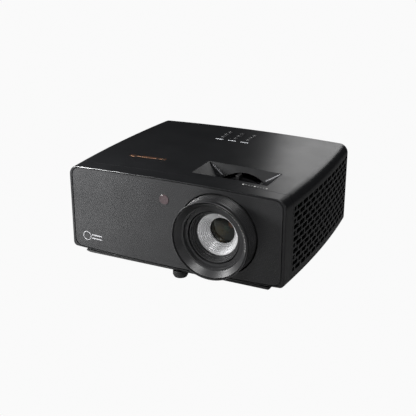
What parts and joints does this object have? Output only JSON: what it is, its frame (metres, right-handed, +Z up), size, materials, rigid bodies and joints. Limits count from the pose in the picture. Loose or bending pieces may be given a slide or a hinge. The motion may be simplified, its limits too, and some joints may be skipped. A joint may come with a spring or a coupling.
{
  "type": "home projector",
  "caption": "Low wide home projector with a hooded zoom lens at one side, a lever recess in the top, a small keypad, brick-pattern side vents and rear sockets.",
  "frame": {"origin": "middle of the whole object's box at the surface it stands on", "axes": "+X along the width towards the lens side, +Y from the lens to the rear sockets, +Z up"},
  "size_m": [0.343, 0.3036, 0.1497],
  "materials": {
    "body_black": "fine satin texture",
    "panel_black": "dimpled satin",
    "base_black": "fine matte texture",
    "silver_trim": "satin",
    "light_bar": "milky",
    "smoked_window": "polished",
    "key_black": "satin",
    "hood_black": "satin",
    "ring_black": "knurled",
    "cone_silver": "satin, stepped",
    "lens_glass": "coated",
    "cast_metal": "as cast",
    "board_green": "solder mask",
    "heatsink_metal": "extruded",
    "motor_steel": "satin",
    "phosphor": "coated disc",
    "filter_disc": "dichroic",
    "fan_black": "moulded",
    "port_metal": "plated",
    "socket_black": "moulded",
    "screw_steel": "black zinc",
    "foot_black": "ribbed",
    "pad_rubber": "matte"
  },
  "bodies": {
    "case": {"front_bezel": "body_black", "top_cover": "body_black", "bottom_case": "base_black", "front_panel": "panel_black", "rear_panel": "base_black", "recess_trims": "silver_trim", "status_lights": "light_bar", "ir_window": "smoked_window", "keypad_board": "board_green", "lens_flange": "cast_metal", "lens_barrel": "ring_black", "rear_lens": "lens_glass", "engine_housing": "cast_metal", "prism": "lens_glass", "chip_board": "board_green", "chip_heatsink": "heatsink_metal", "light_tunnel": "lens_glass", "phosphor_motor": "motor_steel", "color_motor": "motor_steel", "laser_bank": "cast_metal", "laser_heatsink": "heatsink_metal", "exhaust_fan_frame": "fan_black", "intake_fan_frame": "fan_black", "main_board": "board_green", "power_supply": "board_green", "hdmi_ports": "port_metal", "usb_port": "port_metal", "lan_port": "port_metal", "audio_jacks": "socket_black", "ac_inlet": "socket_black", "speaker": "fan_black", "case_screws": "screw_steel"},
    "focus": {"lens_hood": "hood_black", "focus_ring": "ring_black"},
    "front_group": {"front_cell": "hood_black", "inner_cone": "cone_silver", "front_lens": "lens_glass"},
    "zoom": {"zoom_ring": "ring_black", "zoom_lever": "ring_black"},
    "zoom_group": {"zoom_cell": "ring_black", "zoom_lens": "lens_glass"},
    "exhaust_rotor": {"exhaust_fan_rotor": "fan_black"},
    "intake_rotor": {"intake_fan_rotor": "fan_black"},
    "phosphor_disc": {"phosphor_wheel": "phosphor"},
    "color_disc": {"color_wheel": "filter_disc"},
    "front_foot_set": {"front_foot": "foot_black", "front_foot_pad": "pad_rubber"},
    "rear_foot_left_set": {"rear_foot_left": "foot_black", "rear_foot_left_pad": "pad_rubber"},
    "rear_foot_right_set": {"rear_foot_right": "foot_black", "rear_foot_right_pad": "pad_rubber"},
    "power_key_body": {"power_key": "key_black"},
    "up_key_body": {"up_key": "key_black"},
    "menu_key_body": {"menu_key": "key_black"},
    "left_key_body": {"left_key": "key_black"},
    "enter_key_body": {"enter_key": "key_black"},
    "right_key_body": {"right_key": "key_black"},
    "source_key_body": {"source_key": "key_black"},
    "down_key_body": {"down_key": "key_black"},
    "back_key_body": {"back_key": "key_black"}
  },
  "joints": [
    {"name": "focus_turn", "type": "hinge", "parent": "case", "child": "focus", "pos_m": [0.0696, -0.116, 0.0813], "axis": [0, 1, 0], "range_deg": [-60, 60]},
    {"name": "front_group_slide", "type": "slide", "parent": "case", "child": "front_group", "axis": [0, 1, 0], "range_m": [-0.0015, 0.0015]},
    {"name": "zoom_turn", "type": "hinge", "parent": "case", "child": "zoom", "pos_m": [0.0696, -0.056, 0.0813], "axis": [0, 1, 0], "range_deg": [-22, 26]},
    {"name": "zoom_group_slide", "type": "slide", "parent": "case", "child": "zoom_group", "axis": [0, 1, 0], "range_m": [-0.005, 0.0055]},
    {"name": "exhaust_fan_spin", "type": "hinge", "parent": "case", "child": "exhaust_rotor", "pos_m": [-0.1475, 0.006, 0.071], "axis": [1, 0, 0], "continuous": true},
    {"name": "intake_fan_spin", "type": "hinge", "parent": "case", "child": "intake_rotor", "pos_m": [0.1475, 0.06, 0.071], "axis": [1, 0, 0], "continuous": true},
    {"name": "phosphor_wheel_spin", "type": "hinge", "parent": "case", "child": "phosphor_disc", "pos_m": [-0.05, 0.02, 0.1013], "axis": [1, 0, 0], "continuous": true},
    {"name": "color_wheel_spin", "type": "hinge", "parent": "case", "child": "color_disc", "pos_m": [-0.014, 0.02, 0.0983], "axis": [1, 0, 0], "continuous": true},
    {"name": "front_foot_height", "type": "slide", "parent": "case", "child": "front_foot_set", "axis": [0, 0, -1], "range_m": [0, 0.012]},
    {"name": "rear_foot_left_height", "type": "slide", "parent": "case", "child": "rear_foot_left_set", "axis": [0, 0, -1], "range_m": [0, 0.012]},
    {"name": "rear_foot_right_height", "type": "slide", "parent": "case", "child": "rear_foot_right_set", "axis": [0, 0, -1], "range_m": [0, 0.012]},
    {"name": "power_key_press", "type": "slide", "parent": "case", "child": "power_key_body", "axis": [0, 0, -1], "range_m": [0, 0.0008], "stiffness_N_per_m": 1200, "springref_m": -0.0003},
    {"name": "up_key_press", "type": "slide", "parent": "case", "child": "up_key_body", "axis": [0, 0, -1], "range_m": [0, 0.0008], "stiffness_N_per_m": 1200, "springref_m": -0.0003},
    {"name": "menu_key_press", "type": "slide", "parent": "case", "child": "menu_key_body", "axis": [0, 0, -1], "range_m": [0, 0.0008], "stiffness_N_per_m": 1200, "springref_m": -0.0003},
    {"name": "left_key_press", "type": "slide", "parent": "case", "child": "left_key_body", "axis": [0, 0, -1], "range_m": [0, 0.0008], "stiffness_N_per_m": 1200, "springref_m": -0.0003},
    {"name": "enter_key_press", "type": "slide", "parent": "case", "child": "enter_key_body", "axis": [0, 0, -1], "range_m": [0, 0.0008], "stiffness_N_per_m": 1200, "springref_m": -0.0003},
    {"name": "right_key_press", "type": "slide", "parent": "case", "child": "right_key_body", "axis": [0, 0, -1], "range_m": [0, 0.0008], "stiffness_N_per_m": 1200, "springref_m": -0.0003},
    {"name": "source_key_press", "type": "slide", "parent": "case", "child": "source_key_body", "axis": [0, 0, -1], "range_m": [0, 0.0008], "stiffness_N_per_m": 1200, "springref_m": -0.0003},
    {"name": "down_key_press", "type": "slide", "parent": "case", "child": "down_key_body", "axis": [0, 0, -1], "range_m": [0, 0.0008], "stiffness_N_per_m": 1200, "springref_m": -0.0003},
    {"name": "back_key_press", "type": "slide", "parent": "case", "child": "back_key_body", "axis": [0, 0, -1], "range_m": [0, 0.0008], "stiffness_N_per_m": 1200, "springref_m": -0.0003}
  ],
  "couplings": [
    {"joint": "front_group_slide", "follows": "focus_turn", "m_per_rad": 0.00143},
    {"joint": "zoom_group_slide", "follows": "zoom_turn", "m_per_rad": 0.0119}
  ]
}
